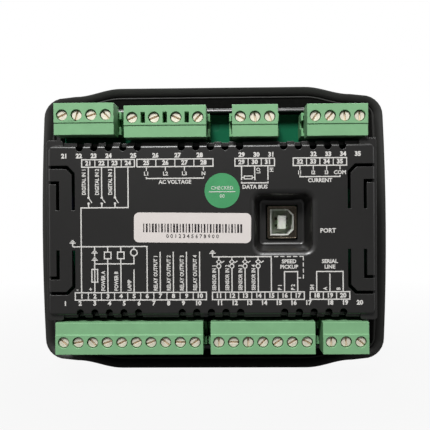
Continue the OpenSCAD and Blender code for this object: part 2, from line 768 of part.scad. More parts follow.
module usb_shell() color(STEEL) translate([usb_x, 0, usb_z]) difference() {
    plate(y_usb, y_board) round_rect(usb_w, usb_h, shell_r);
    plate(y_usb - cut, y_usb + usb_rim)
        round_rect(usb_w - 2 * usb_sheet, usb_h - 2 * usb_sheet, shell_r - usb_sheet);
    plate(y_usb_face, y_board + cut)
        square([usb_w - 2 * usb_sheet, usb_h - 2 * usb_sheet], center = true);
    plate(y_usb - cut, y_usb + collar_h) mouth(0);
}

module usb_insert() color("#c6cfc0") translate([usb_x, 0, usb_z]) {
    difference() {
        union() {
            plate(y_usb_face, y_board)
                square([usb_w - 2 * usb_sheet, usb_h - 2 * usb_sheet], center = true);
            plate(y_usb, y_usb + collar_h) mouth(mouth_gap);
        }
        plate(y_usb - cut, y_usb + well) mouth(mouth_gap + lip_t);
    }
    plate(y_usb + tongue_sink, y_usb + well + cut) square([tongue_w, tongue_h], center = true);
}

// Two contacts on each side of the tongue
contact_t = 0.7;
contact_w = 0.9;
contact_pitch = 2.5;
contact_sink = 4;
module usb_contacts() color("#8a7a40") translate([usb_x, 0, usb_z]) for (sx = [-1, 1], sz = [-1, 1])
    translate([sx * (tongue_w + contact_t) / 2, y_usb + (contact_sink + well) / 2, sz * contact_pitch / 2])
        cube([contact_t, well - contact_sink, contact_w], center = true);

module id_label() color("#e5dcd8") translate([label_x, 0, label_z]) rotate([0, label_tilt, 0])
    plate(y_back - film_t, y_back) round_rect(label_w, label_h, label_r);

module round_sticker() color("#48a368") rod(sticker_x, sticker_z, y_back - film_t, y_back, sticker_d);

// Inner pieces on the two boards
spacer_z = half_h - spacer_inset + spacer_d / 3;
module board_spacers() color("#d0d0c8") for (sx = [-1, 1], sz = [-1, 1])
    translate([sx * (half_w - spacer_inset), 0, sz * spacer_z]) difference() {
        rod(0, 0, y_board + board_t, y_front_board - board_t, spacer_d);
        rod(0, 0, y_board + board_t - cut, y_front_board - board_t + cut, spacer_d / 2);
    }

link_w = 26;
link_d = 5;
module board_link() color("#222222")
    box(-link_w / 2, link_w / 2, y_board + board_t, y_front_board - board_t, -link_d / 2, link_d / 2);

// Relays stand in a row over the output terminals
RELAYS = 6;
relay_w = 7;
relay_d = 18;
relay_pitch = 9;
relay_x = -half_w + 11.5;
relay_z = -back_hh + 3.5;
module output_relays() color("#23262b") for (i = [0:RELAYS - 1])
    translate([relay_x + i * relay_pitch, y_board - relay_h, relay_z]) cube([relay_w, relay_h, relay_d]);

// Current sensors stand under the current terminals
SENSORS = 3;
sensor_w = 11;
sensor_pitch = 13;
sensor_bore = 5;
sensor_x = half_w - 17.5;
sensor_z = back_hh - 8;
module current_sensors() color("#1f2a44") for (i = [0:SENSORS - 1])
    translate([sensor_x - i * sensor_pitch, 0, sensor_z]) difference() {
        box(-sensor_w / 2, sensor_w / 2, y_board - sensor_h, y_board, -sensor_w / 2, sensor_w / 2);
        rod(0, 0, y_board - sensor_h - cut, y_board - sensor_h / 2, sensor_bore);
    }

CAPS = 3;
cap_h = 14;
cap_pitch = 11;
chip_row = 10;
module capacitors() color("#27364f") for (i = [0:CAPS - 1])
    rod(relay_x + i * cap_pitch, chip_row, y_board - cap_h, y_board, cap_d);

chip_w = 12;
chip_h = 1.6;
chip_r = 0.4;
chip_x = -11;
module processor() color("#1b1b1c") plate(y_board - chip_h, y_board) translate([chip_x, chip_row])
    round_rect(chip_w, chip_w, chip_r);

front_bezel();
face_overlay();
display_window();
display_module();
front_board();
board_screws();
tact_switches();
for (k = KEYS) key(k);
indicator_lenses();
panel_gasket();
rear_cover();
main_board();
board_spacers();
board_link();
output_relays();
current_sensors();
capacitors();
processor();
header_pins();
usb_shell();
usb_insert();
usb_contacts();
id_label();
round_sticker();
for (b = concat(LOWER, UPPER)) {
    header(b[0]);
    plug(b[0]);
    screws(b[0]);
    clamps(b[0]);
}
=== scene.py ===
import itertools
import json
import math

import bmesh
import bpy
from mathutils import Matrix, Vector

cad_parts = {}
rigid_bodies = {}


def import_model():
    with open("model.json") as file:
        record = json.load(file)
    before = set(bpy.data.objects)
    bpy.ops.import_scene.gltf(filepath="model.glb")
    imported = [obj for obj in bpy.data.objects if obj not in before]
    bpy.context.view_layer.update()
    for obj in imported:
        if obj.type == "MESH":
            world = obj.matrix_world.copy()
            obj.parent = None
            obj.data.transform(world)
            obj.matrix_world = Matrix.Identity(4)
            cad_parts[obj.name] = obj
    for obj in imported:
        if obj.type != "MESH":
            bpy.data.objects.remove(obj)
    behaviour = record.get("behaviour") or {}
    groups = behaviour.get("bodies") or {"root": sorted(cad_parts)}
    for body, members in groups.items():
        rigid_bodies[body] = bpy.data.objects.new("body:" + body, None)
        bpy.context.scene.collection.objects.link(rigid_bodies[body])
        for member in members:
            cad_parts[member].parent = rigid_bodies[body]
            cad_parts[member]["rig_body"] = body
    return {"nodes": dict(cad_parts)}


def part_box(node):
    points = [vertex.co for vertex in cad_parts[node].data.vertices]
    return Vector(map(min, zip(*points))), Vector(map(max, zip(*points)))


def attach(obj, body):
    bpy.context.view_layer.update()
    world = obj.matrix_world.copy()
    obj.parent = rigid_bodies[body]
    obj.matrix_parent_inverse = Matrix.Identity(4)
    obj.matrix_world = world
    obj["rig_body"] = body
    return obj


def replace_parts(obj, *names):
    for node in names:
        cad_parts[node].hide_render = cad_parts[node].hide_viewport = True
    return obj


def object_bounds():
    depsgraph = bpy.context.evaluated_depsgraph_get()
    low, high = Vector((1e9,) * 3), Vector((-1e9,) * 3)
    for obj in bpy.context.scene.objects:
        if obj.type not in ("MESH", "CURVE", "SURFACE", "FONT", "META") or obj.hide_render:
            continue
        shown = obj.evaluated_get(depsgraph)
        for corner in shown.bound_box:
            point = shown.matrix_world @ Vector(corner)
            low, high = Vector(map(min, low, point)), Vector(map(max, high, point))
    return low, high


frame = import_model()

cad_box = [list(corner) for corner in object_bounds()]

MM = 0.001
ACROSS, UP = Vector((1, 0, 0)), Vector((0, 0, 1))
BLOCKS = {"power": 10, "sensors": 7, "serial": 3, "inputs": 4, "voltage": 4, "bus": 3, "current": 4}
CONTROL_KEYS = ["key_stop", "key_manual", "key_auto", "key_start"]
MENU_KEYS = ["key_up", "key_enter", "key_down"]


def box_mm(node):
    """Low and high corner of a CAD node in millimetres."""
    low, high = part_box(node)
    return low / MM, high / MM


# Colours and shaders

# Most of a noise lies between these values
NOISE_LOW = 0.3
NOISE_HIGH = 0.7
MOULDED_UNEVEN = 0.06
PLATED_UNEVEN = 0.08
# Depth below the screw face where the painted shade in the slots begins, in millimetres
SLOT_SHADE_START = 0.12
DISPLAY_DOTS = 640.0
BLACK = (0, 0, 0, 1)
WHITE = (1, 1, 1, 1)


def srgb(red, green, blue):
    """A colour as it is seen, 0 to 255 each, as the linear value that a shader takes."""
    def linear(value):
        share = value / 255
        return share / 12.92 if share <= 0.04045 else ((share + 0.055) / 1.055) ** 2.4
    return (linear(red), linear(green), linear(blue), 1.0)


def shaded(colour, factor):
    """The same colour, lighter or darker."""
    return (colour[0] * factor, colour[1] * factor, colour[2] * factor, 1.0)


def new_material(name):
    material = bpy.data.materials.new(name)
    material.use_nodes = True
    tree = material.node_tree
    return material, tree, tree.nodes["Principled BSDF"]


def object_place(tree, stretch=(1, 1, 1)):
    """Coordinates that stay with the piece, stretched along its axes."""
    place = tree.nodes.new("ShaderNodeTexCoord").outputs["Object"]
    mapping = tree.nodes.new("ShaderNodeMapping")
    mapping.inputs["Scale"].default_value = stretch
    tree.links.new(place, mapping.inputs["Vector"])
    return mapping.outputs["Vector"]


def noise(tree, place, size, detail=2.0):
    """Cloudy noise with patches of about this size in millimetres."""
    node = tree.nodes.new("ShaderNodeTexNoise")
    node.inputs["Scale"].default_value = 1 / (size * MM)
    node.inputs["Detail"].default_value = detail
    tree.links.new(place, node.inputs["Vector"])
    return node.outputs["Fac"]


def ramp(tree, factor, low, high, start=NOISE_LOW, end=NOISE_HIGH):
    """Colour that goes from low to high as the factor goes from start to end."""
    node = tree.nodes.new("ShaderNodeValToRGB")
    node.color_ramp.elements[0].position = start
    node.color_ramp.elements[0].color = low
    node.color_ramp.elements[1].position = end
    node.color_ramp.elements[1].color = high
    tree.links.new(factor, node.inputs["Fac"])
    return node.outputs["Color"]


def spread(tree, factor, low, high, start=NOISE_LOW, end=NOISE_HIGH):
    """Number that goes from low to high as the factor goes from start to end."""
    node = tree.nodes.new("ShaderNodeMapRange")
    node.inputs["From Min"].default_value = start
    node.inputs["From Max"].default_value = end
    node.inputs["To Min"].default_value = low
    node.inputs["To Max"].default_value = high
    tree.links.new(factor, node.inputs["Value"])
    return node.outputs["Result"]


def combine(tree, operation, first, second):
    """A mathematical operation on a factor and a second factor or plain number."""
    node = tree.nodes.new("ShaderNodeMath")
    node.operation = operation
    tree.links.new(first, node.inputs[0])
    if isinstance(second, float):
        node.inputs[1].default_value = second
    else:
        tree.links.new(second, node.inputs[1])
    return node.outputs[0]


def blend_shaders(tree, factor, first, second):
    node = tree.nodes.new("ShaderNodeMixShader")
    tree.links.new(factor, node.inputs["Fac"])
    tree.links.new(first, node.inputs[1])
    tree.links.new(second, node.inputs[2])
    return node.outputs["Shader"]


def mix(tree, factor, first, second):
    """Colour between two colours, each a value or the output of a node."""
    node = tree.nodes.new("ShaderNodeMix")
    node.data_type = "RGBA"
    tree.links.new(factor, node.inputs[0])
    for socket, value in ((node.inputs[6], first), (node.inputs[7], second)):
        if isinstance(value, tuple):
            socket.default_value = value
        else:
            tree.links.new(value, socket)
    return node.outputs[2]


def emboss(tree, shader, height, depth):
    """Bump of this depth in millimetres."""
    node = tree.nodes.new("ShaderNodeBump")
    node.inputs["Distance"].default_value = depth * MM
    tree.links.new(height, node.inputs["Height"])
    tree.links.new(node.outputs["Normal"], shader.inputs["Normal"])


def moulded(name, colour, gloss, grain, depth, specular=0.3, contrast=0.1, patch=9.0):
    """Moulded plastic, rubber or paper: cloudy colour, grained surface and uneven gloss."""
    material, tree, shader = new_material(name)
    place = object_place(tree)
    cloud = noise(tree, place, patch, detail=3.0)
    fine = noise(tree, place, grain)
    base = ramp(tree, cloud, shaded(colour, 1 - contrast), shaded(colour, 1 + contrast))
    tree.links.new(base, shader.inputs["Base Color"])
    rough = spread(tree, fine, gloss - MOULDED_UNEVEN, gloss + MOULDED_UNEVEN)
    tree.links.new(rough, shader.inputs["Roughness"])
    shader.inputs["Specular IOR Level"].default_value = specular
    emboss(tree, shader, fine, depth)
    return material


def milky(name, colour):
    """Moulded plastic that lets some light through."""
    material = moulded(name, colour, gloss=0.45, grain=0.3, depth=0.004, contrast=0.04, patch=3.0)
    shader = material.node_tree.nodes["Principled BSDF"]
    shader.inputs["Subsurface Weight"].default_value = 0.9
    shader.inputs["Subsurface Radius"].default_value = (1.0, 1.15, 1.0)
    shader.inputs["Subsurface Scale"].default_value = 6 * MM
    return material


def plated(name, colour, gloss, stretch=(1, 1, 1), contrast=0.12, depth=0.01):
    """Plated metal with fine tool marks along one axis."""
    material, tree, shader = new_material(name)
    marks = noise(tree, object_place(tree, stretch), size=0.35, detail=3.0)
    stain = noise(tree, object_place(tree), size=2.5)
    base = ramp(tree, stain, shaded(colour, 1 - contrast), shaded(colour, 1 + contrast / 2))
    tree.links.new(base, shader.inputs["Base Color"])
    rough = spread(tree, marks, gloss - PLATED_UNEVEN, gloss + PLATED_UNEVEN)
    tree.links.new(rough, shader.inputs["Roughness"])
    shader.inputs["Metallic"].default_value = 1.0
    emboss(tree, shader, marks, depth)
    return material


def slotted_screw(name, colour, slot_shade, face, depth):
    """Satin nickel, with painted shade that darkens it from the face of the screws to this depth in
    millimetres, in the slots and below.
    """
    material, tree, shader = new_material(name)
    place = object_place(tree)
    marks = noise(tree, object_place(tree, (1, 1, 6)), size=0.3, detail=3.0)
    parts = tree.nodes.new("ShaderNodeSeparateXYZ")
    tree.links.new(place, parts.inputs[0])
    # Share of painted shade, growing with depth into the slots
    sunk = spread(tree, parts.outputs["Y"], 0.0, 1.0, (face + SLOT_SHADE_START) * MM, (face + depth) * MM)
    bright = ramp(tree, noise(tree, place, size=1.6), shaded(colour, 0.86), shaded(colour, 1.05))
    tree.links.new(mix(tree, sunk, bright, slot_shade), shader.inputs["Base Color"])
    tree.links.new(spread(tree, marks, 0.46, 0.62), shader.inputs["Roughness"])
    shader.inputs["Metallic"].default_value = 0.4
    emboss(tree, shader, marks, depth=0.01)
    return material


def circuit_board(name):
    """Green solder mask that lies thicker over the copper areas."""
    material, tree, shader = new_material(name)
    place = object_place(tree)
    areas = noise(tree, place, size=7.0, detail=1.0)
    copper = ramp(tree, areas, BLACK, WHITE, start=0.47, end=0.5)
    mask = ramp(tree, noise(tree, place, size=5.0), srgb(10, 80, 54), srgb(13, 88, 60))
    tree.links.new(mix(tree, copper, mask, srgb(14, 93, 63)), shader.inputs["Base Color"])
    shader.inputs["Roughness"].default_value = 0.36
    shader.inputs["Specular IOR Level"].default_value = 0.16
    emboss(tree, shader, copper, depth=0.03)
    return material


def clear_window(name):
    """Clear hard-coated plastic with a faint smoke tint."""
    material, tree, shader = new_material(name)
    haze = noise(tree, object_place(tree), size=12.0)
    tint = ramp(tree, haze, srgb(128, 136, 130), srgb(140, 148, 142))
    tree.links.new(tint, shader.inputs["Base Color"])
    tree.links.new(spread(tree, haze, 0.05, 0.1), shader.inputs["Roughness"])
    shader.inputs["Alpha"].default_value = 0.12
    return material


def liquid_crystal(name):
    """Unlit display with its fine grid of dots."""
    material, tree, shader = new_material(name)
    place = object_place(tree)
    lines = []
    for direction in ("X", "Z"):
        wave = tree.nodes.new("ShaderNodeTexWave")
        wave.bands_direction = direction
        wave.inputs["Scale"].default_value = DISPLAY_DOTS
        tree.links.new(place, wave.inputs["Vector"])
        lines.append(wave.outputs["Fac"])
    grid = combine(tree, "MULTIPLY", *lines)
    glow = ramp(tree, noise(tree, place, size=30.0), srgb(146, 162, 124), srgb(158, 174, 134))
    tree.links.new(mix(tree, grid, glow, srgb(138, 154, 116)), shader.inputs["Base Color"])
    shader.inputs["Roughness"].default_value = 0.4
    return material


SCREW_FACE = box_mm("screws_power")[0].y
# Painted shade for the screw slots: a darker, browner tint of the nickel in place of their shadow
SLOT_SHADE_COLOUR = srgb(228, 210, 186)
SLOT_DEPTH = 0.5
# A moulded finish has its colour, gloss, size and depth of the grain, specular level, contrast and patches.
# A plated one has its colour, gloss, stretch of the tool marks, contrast and depth of the marks.
MATERIALS = {
    "case": moulded("case_plastic", srgb(25, 24, 23), 0.36, 0.12, 0.003, 0.75, 0.06),
    "bezel": moulded("bezel_plastic", srgb(36, 36, 34), 0.5, 0.25, 0.01, 0.45, 0.1),
    "plug": moulded("plug_plastic", srgb(130, 180, 134), 0.45, 0.3, 0.008, 0.3, 0.04, 4.0),
    "header": moulded("header_plastic", srgb(118, 172, 124), 0.45, 0.3, 0.008, 0.3, 0.05, 4.0),
    "screw": slotted_screw("nickel_screw", srgb(234, 227, 210), SLOT_SHADE_COLOUR, SCREW_FACE, SLOT_DEPTH),
    "clamp": plated("zinc_clamp", srgb(172, 168, 158), 0.38, (5, 1, 1)),
    "pin": plated("tinned_pin", srgb(205, 205, 200), 0.35, (1, 4, 1)),
    "steel": plated("steel_screw", srgb(150, 148, 142), 0.35, (1, 1, 5)),
    "socket": plated("socket_shell", srgb(122, 113, 100), 0.2, (6, 1, 1), 0.2, 0.004),
    # Plated contacts, coloured near-black as painted shade for the dark holes they sit in
    "contact": plated("socket_contact_painted_shade", srgb(46, 42, 32), 0.35, (1, 6, 1)),
    "insert": milky("socket_plastic", srgb(226, 234, 218)),
    "board": circuit_board("circuit_board"),
    "gasket": moulded("foam_rubber", srgb(16, 16, 15), 0.9, 0.6, 0.12, 0.05, 0.25, 2.0),
    "label": moulded("label_paper", srgb(224, 217, 213), 0.6, 0.5, 0.006, 0.25, 0.015, 6.0),
    "sticker": moulded("sticker_film", srgb(74, 156, 103), 0.4, 0.6, 0.004, 0.35, 0.05, 5.0),
    "ink": moulded("print_white", srgb(218, 216, 212), 0.6, 0.3, 0.004, 0.2, 0.05, 3.0),
    "black_ink": moulded("print_black", srgb(38, 34, 36), 0.6, 0.3, 0.004, 0.2, 0.1, 3.0),
    "overlay": moulded("overlay_film", srgb(92, 96, 99), 0.48, 0.35, 0.02, 0.3, 0.03, 14.0),
    "window": clear_window("display_window"),
    "display": liquid_crystal("display_module"),
    "dark_part": moulded("dark_part", srgb(38, 40, 44), 0.5, 0.3, 0.01, 0.3, 0.12),
    "blue_part": moulded("blue_part", srgb(40, 52, 82), 0.42, 0.4, 0.006, 0.35, 0.08),
    "spacer": moulded("nylon", srgb(208, 208, 200), 0.5, 0.4, 0.008, 0.3, 0.04),
    "lens": moulded("lens_plastic", srgb(214, 210, 168), 0.18, 0.5, 0.004, 0.5, 0.04, 2.0),
    "key_red": moulded("key_red", srgb(176, 48, 42), 0.45, 0.3, 0.015, 0.35, 0.05),
    "key_green": moulded("key_green", srgb(58, 136, 74), 0.45, 0.3, 0.015, 0.35, 0.05),
    "key_grey": moulded("key_grey", srgb(142, 146, 148), 0.45, 0.3, 0.015, 0.35, 0.04),
    "key_dark": moulded("key_dark", srgb(110, 113, 116), 0.45, 0.3, 0.015, 0.35, 0.04),
}


# Pieces, with edges rounded by a width in millimetres

NEAR = 0.02
WELD = 0.0005
CUT_NEAR = 0.0001
FLAT_ANGLE = 0.5
SMOOTH_ANGLE = 32
EDGE_ANGLE = 38
WIDE_STEPS = 5
PLUG_EDGE = 0.16
HEADER_EDGE = 0.12
SCREW_EDGE = 0.12
COVER_EDGE = 0.14
WIDE_EDGE = 1.65
SHELL_EDGE = 0.1
KEY_EDGE = 0.35
KEY_STEPS = 3


def add_piece(name, mesh, material, body):
    piece = bpy.data.objects.new(name, mesh)
    bpy.context.scene.collection.objects.link(piece)
    mesh.materials.clear()
    mesh.materials.append(MATERIALS[material])
    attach(piece, body)
    return piece


def paint(node, material):
    """The CAD solid as it is, in its own finish."""
    mesh = frame["nodes"][node].data
    mesh.materials.clear()
    mesh.materials.append(MATERIALS[material])


def smooth(mesh, angle=SMOOTH_ANGLE):
    """Smooth shading, apart from edges that turn by more than this angle in degrees."""
    mesh.shade_smooth()
    mesh.set_sharp_from_angle(angle=math.radians(angle))


def clean_copy(node):
    """The CAD solid's mesh with flat faces joined."""
    mesh = frame["nodes"][node].data.copy()
    mesh.name = node + "_mesh"
    shape = bmesh.new()
    shape.from_mesh(mesh)
    bmesh.ops.remove_doubles(shape, verts=shape.verts, dist=WELD * MM)
    flat = math.radians(FLAT_ANGLE)
    bmesh.ops.dissolve_limit(shape, angle_limit=flat, verts=shape.verts, edges=shape.edges)
    shape.to_mesh(mesh)
    shape.free()
    return mesh


def split_across(mesh, cuts):
    """Divides the faces at these places along an axis, so that no face runs around an opening."""
    work = bmesh.new()
    work.from_mesh(mesh)
    for axis, place in cuts:
        every = work.verts[:] + work.edges[:] + work.faces[:]
        point = axis * place * MM
        bmesh.ops.bisect_plane(work, geom=every, dist=CUT_NEAR * MM, plane_co=point, plane_no=axis)
    work.to_mesh(mesh)
    work.free()


def split_to_triangles(mesh):
    work = bmesh.new()
    work.from_mesh(mesh)
    bmesh.ops.triangulate(work, faces=work.faces)
    work.to_mesh(mesh)
    work.free()


def round_edges(piece, name, edge, segments):
    bevel = piece.modifiers.new(name, "BEVEL")
    bevel.width = edge * MM
    bevel.segments = segments
    bevel.harden_normals = True
    bevel.use_clamp_overlap = False
    return bevel


def soften(node, material, edge, segments=2, wide=None, chosen=None, splits=()):
    """The same solid with its moulded or pressed edges rounded, in place of the CAD node.

    The edges that are chosen by their two ends get their share of the wide round first."""
    mesh = clean_copy(node)
    split_across(mesh, splits)
    piece = add_piece(node + "_soft", mesh, material, frame["nodes"][node]["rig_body"])
    smooth(mesh)
    if chosen:
        weights = mesh.attributes.new("bevel_weight_edge", "FLOAT", "EDGE")
        for line, weight in zip(mesh.edges, weights.data):
            ends = [mesh.vertices[i].co / MM for i in line.vertices]
            weight.value = chosen(*ends)
        round_edges(piece, "wide_rounds", wide, WIDE_STEPS).limit_method = "WEIGHT"
    bevel = round_edges(piece, "rounded_edges", edge, segments)
    bevel.limit_method = "ANGLE"
    bevel.angle_limit = math.radians(EDGE_ANGLE)
    even = piece.modifiers.new("flat_faces_stay_flat", "WEIGHTED_NORMAL")
    even.keep_sharp = True
    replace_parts(piece, node)


# Bezel: a quarter of its outline, from the start of the wave in the top edge to the middle of the side

BEZEL_HALF_W = cad_box[1][0] / MM
BEZEL_HALF_H = cad_box[1][2] / MM
BEZEL_FRONT = box_mm("front_bezel")[1].y
EDGE_R = 3.0
EDGE_STEPS = 4
WAVE_FLAT = 36.0
WAVE_END = 54.0
WAVE_DROP = 3.0
WAVE_STEPS = 10
CORNER_R = 8.0
CORNER_STEPS = 7
SHOULDER_DROP = 0.5
SIDE_BOW = 1.0
SIDE_STEPS = 4
BEZEL_ANGLE = 40
CORNER_X = BEZEL_HALF_W - SIDE_BOW - CORNER_R
CORNER_Z = BEZEL_HALF_H - WAVE_DROP - SHOULDER_DROP - CORNER_R


def bezel_quarter():
    """Point on the outline and its inward direction, for each corner of the outline."""
    rows = []
    for i in range(WAVE_STEPS + 1):
        share = i / WAVE_STEPS
        x = WAVE_FLAT + (WAVE_END - WAVE_FLAT) * share
        drop = WAVE_DROP * (1 - math.cos(math.pi * share)) / 2
        rows.append((Vector((x, BEZEL_HALF_H - drop)), Vector((0, -1))))
    for i in range(CORNER_STEPS + 1):
        turn = math.radians(90 - 90 * i / CORNER_STEPS)
        out = Vector((math.cos(turn), math.sin(turn)))
        rows.append((Vector((CORNER_X, CORNER_Z)) + CORNER_R * out, -out))
    for i in range(1, SIDE_STEPS + 1):
        share = 1 - i / SIDE_STEPS
        rows.append((Vector((BEZEL_HALF_W - SIDE_BOW * share * share, CORNER_Z * share)), Vector((-1, 0))))
    return rows


def edge_corners():
    """Each corner of the stepped front edge, and its place on the true round: inset and height."""
    step = math.radians(90 / EDGE_STEPS)
    base = BEZEL_FRONT - EDGE_R
    stairs = [(0.0, base)]
    for i in range(EDGE_STEPS):
        inset = EDGE_R * (1 - math.cos((i + 0.5) * step))
        stairs += [(inset, stairs[-1][1]), (inset, base + EDGE_R * math.sin((i + 1) * step))]
    last = len(stairs) - 1
    turns = [math.radians(90 * i / last) for i in range(last + 1)]
    rounded = [(EDGE_R * (1 - math.cos(turn)), base + EDGE_R * math.sin(turn)) for turn in turns]
    return list(zip(stairs, rounded))


def roll_edge(mesh):
    """Lay the steps of the bezel's front edge on one smooth round."""
    quarter = bezel_quarter()
    corners = edge_corners()
    for vertex in mesh.vertices:
        x, y, z = vertex.co / MM
        if y < BEZEL_FRONT - EDGE_R - NEAR:
            continue
        place = Vector((abs(x), abs(z)))
        fits = []
        for start, inward in quarter:
            inset = (place - start).dot(inward)
            fits.append(((place - start - inset * inward).length, inset, start, inward))
        miss, inset, start, inward = min(fits, key=lambda fit: fit[0])
        away, (new_inset, new_y) = min((math.hypot(stair[0] - inset, stair[1] - y), new)
                                       for stair, new in corners)
        if miss > NEAR or away > NEAR:
            continue
        new = start + new_inset * inward
        vertex.co = Vector((math.copysign(new.x, x), new_y, math.copysign(new.y, z))) * MM


def add_bezel():
    mesh = clean_copy("front_bezel")
    split_to_triangles(mesh)
    roll_edge(mesh)
    piece = add_piece("front_bezel_soft", mesh, "bezel", "case")
    smooth(mesh, BEZEL_ANGLE)
    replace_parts(piece, "front_bezel")


def pole_cuts(block):
    """Places of the planes through the middle of a plug's bores."""
    low, high = box_mm("screws_" + block)
    radius = (high.z - low.z) / 2
    step = (high.x - low.x - 2 * radius) / (BLOCKS[block] - 1)
    return [(UP, low.z + radius)] + [(ACROSS, low.x + radius + i * step) for i in range(BLOCKS[block])]


add_bezel()
for block in BLOCKS:
    soften("plug_" + block, "plug", PLUG_EDGE, splits=pole_cuts(block))
    soften("header_" + block, "header", HEADER_EDGE)
    soften("screws_" + block, "screw", SCREW_EDGE)
    paint("clamps_" + block, "clamp")


COVER_LOW, COVER_HIGH = box_mm("rear_cover")
SOCKET_LOW, SOCKET_HIGH = box_mm("usb_shell")
SOCKET = (SOCKET_LOW + SOCKET_HIGH) / 2
SOCKET_ABOVE_FLOOR = 1.0
RECESS_HALF = 10.1
RECESS_TAPER = 2.0
RECESS_FLOOR = SOCKET_LOW.y + SOCKET_ABOVE_FLOOR
RIM_ABOVE_BOARD = 5.3
RIM = box_mm("main_board")[0].y - RIM_ABOVE_BOARD
ROUND_END = 36.0
# How far a rounded corner lies inside the straight edges beside it
RECESS_CORNER = 1.2
RIM_CORNER = 0.7


def socket_reach(point):
    """Distance from the middle of the socket, across or up, whichever is more."""
    return max(abs(point.x - SOCKET.x), abs(point.z - SOCKET.z))


def on_recess_mouth(point):
    """True along the mouth of the recess around the socket."""
    on_edge = RECESS_HALF - RECESS_CORNER < socket_reach(point) < RECESS_HALF + NEAR
    return on_edge and abs(point.y - COVER_LOW.y) < NEAR


def on_recess_floor(point):
    """True along the edge of the recess floor."""
    on_edge = abs(socket_reach(point) - RECESS_HALF + RECESS_TAPER) < RECESS_CORNER
    return on_edge and abs(point.y - RECESS_FLOOR) < NEAR


def on_outer_rim(point):
    """True along the outer edge of the wall around the terminal pockets."""
    inside = min(COVER_HIGH.x - abs(point.x), COVER_HIGH.z - abs(point.z))
    return inside < RIM_CORNER and abs(point.y - RIM) < NEAR and abs(point.z) > ROUND_END - NEAR


WIDE_SHARES = {on_recess_mouth: 1.0, on_recess_floor: 0.6, on_outer_rim: 0.6}


def wide_share(one, two):
    """Share of the wide round on the edge between these two points of the rear cover."""
    return max(share if place(one) and place(two) else 0.0 for place, share in WIDE_SHARES.items())


soften("rear_cover", "case", COVER_EDGE, wide=WIDE_EDGE, chosen=wide_share,
       splits=[(UP, -ROUND_END), (UP, ROUND_END)])
soften("usb_shell", "socket", SHELL_EDGE, splits=[(ACROSS, SOCKET.x), (UP, SOCKET.z)])

AIR_GAP = 0.05


def add_window():
    """The display window with a thin air gap to the display behind it."""
    mesh = clean_copy("display_window")
    back = min(corner.co.y for corner in mesh.vertices)
    for corner in mesh.vertices:
        if corner.co.y < back + NEAR * MM:
            corner.co.y += AIR_GAP * MM
    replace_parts(add_piece("display_window_clear", mesh, "window", "case"), "display_window")


add_window()

for key, material in zip(CONTROL_KEYS, ["key_red", "key_grey", "key_grey", "key_green"]):
    soften(key, material, KEY_EDGE, KEY_STEPS)
for key in MENU_KEYS:
    soften(key, "key_dark", KEY_EDGE, KEY_STEPS)
for node, material in {
        "face_overlay": "overlay", "display_module": "display", "front_board": "board",
        "board_screws": "steel", "tact_switches": "dark_part", "indicator_lenses": "lens",
        "panel_gasket": "gasket", "main_board": "board", "board_spacers": "spacer",
        "board_link": "dark_part", "output_relays": "dark_part", "current_sensors": "blue_part",
        "capacitors": "blue_part", "processor": "dark_part", "header_pins": "pin",
        "usb_insert": "insert", "usb_contacts": "contact", "id_label": "label",
        "round_sticker": "sticker"}.items():
    paint(node, material)


# Printing on the back plate

BACK = COVER_LOW.y
INK = 0.02
LAYER = 0.0003
LINE = 0.4
FINE_LINE = 0.33
DIGIT = 1.5
WORD = 1.3
UPRIGHT_WIDTH = 0.84
PLAIN = 0.06
BOLD = 0.11
# Share of the font's size that a capital letter takes up
CAPITAL_SHARE = 0.7
LETTER_STEPS = 2
SHARPEST_MITRE = 0.3
layers = itertools.count()


def plate_point(x, z, y=BACK):
    return Vector((x, y, z)) * MM


def film(y):
    """Face and foot of the next printed film: each one lies a hair above the one before."""
    out = -1 if y < 0 else 1
    return y + out * (INK + LAYER * next(layers)), y - out * INK


def slab(shape, corners, y=BACK):
    """A closed film of ink with these corners."""
    top, low = film(y)
    front = [shape.verts.new(plate_point(x, z, top)) for x, z in corners]
    back = [shape.verts.new(plate_point(x, z, low)) for x, z in corners]
    shape.faces.new(front)
    shape.faces.new(back[::-1])
    for i in range(len(corners)):
        j = (i + 1) % len(corners)
        shape.faces.new((front[j], front[i], back[i], back[j]))


def mitres(points, width, closed):
    """Left and right edge of a line of this width through the points."""
    count = len(points)
    edges = []
    for i, (x, z) in enumerate(points):
        before = points[i - 1] if closed or i > 0 else None
        after = points[(i + 1) % count] if closed or i < count - 1 else None
        turns = []
        for (x0, z0), (x1, z1) in filter(all, ((before, (x, z)), ((x, z), after))):
            length = math.hypot(x1 - x0, z1 - z0)
            turns.append(Vector(((z0 - z1) / length, (x1 - x0) / length)))
        normal = sum(turns, Vector((0, 0))).normalized()
        reach = width / 2 / max(normal.dot(turns[0]), SHARPEST_MITRE)
        aside = normal.x * reach
        rise = normal.y * reach
        edges.append(((x + aside, z + rise), (x - aside, z - rise)))
    return edges


def stroke(shape, points, width=LINE, y=BACK, closed=False):
    """A printed line through these points."""
    top, low = film(y)
    rows = []
    for left, right in mitres(points, width, closed):
        rows.append([shape.verts.new(plate_point(x, z, level))
                     for (x, z), level in ((left, top), (right, top), (right, low), (left, low))])
    pairs = list(zip(rows, rows[1:]))
    if closed:
        pairs.append((rows[-1], rows[0]))
    else:
        shape.faces.new(rows[0])
        shape.faces.new(rows[-1][::-1])
    for one, two in pairs:
        for i in range(4):
            j = (i + 1) % 4
            shape.faces.new((one[j], one[i], two[i], two[j]))


def circle_points(x, z, radius, sides=20):
    turns = [2 * math.pi * i / sides for i in range(sides)]
    return [(x + radius * math.cos(turn), z + radius * math.sin(turn)) for turn in turns]


def disc(shape, x, z, radius):
    slab(shape, circle_points(x, z, radius))


def ring(shape, x, z, radius, width=FINE_LINE):
    stroke(shape, circle_points(x, z, radius), width, closed=True)


def frame_box(shape, x0, x1, z0, z1, width=LINE, y=BACK):
    stroke(shape, [(x0, z0), (x1, z0), (x1, z1), (x0, z1)], width, y, True)


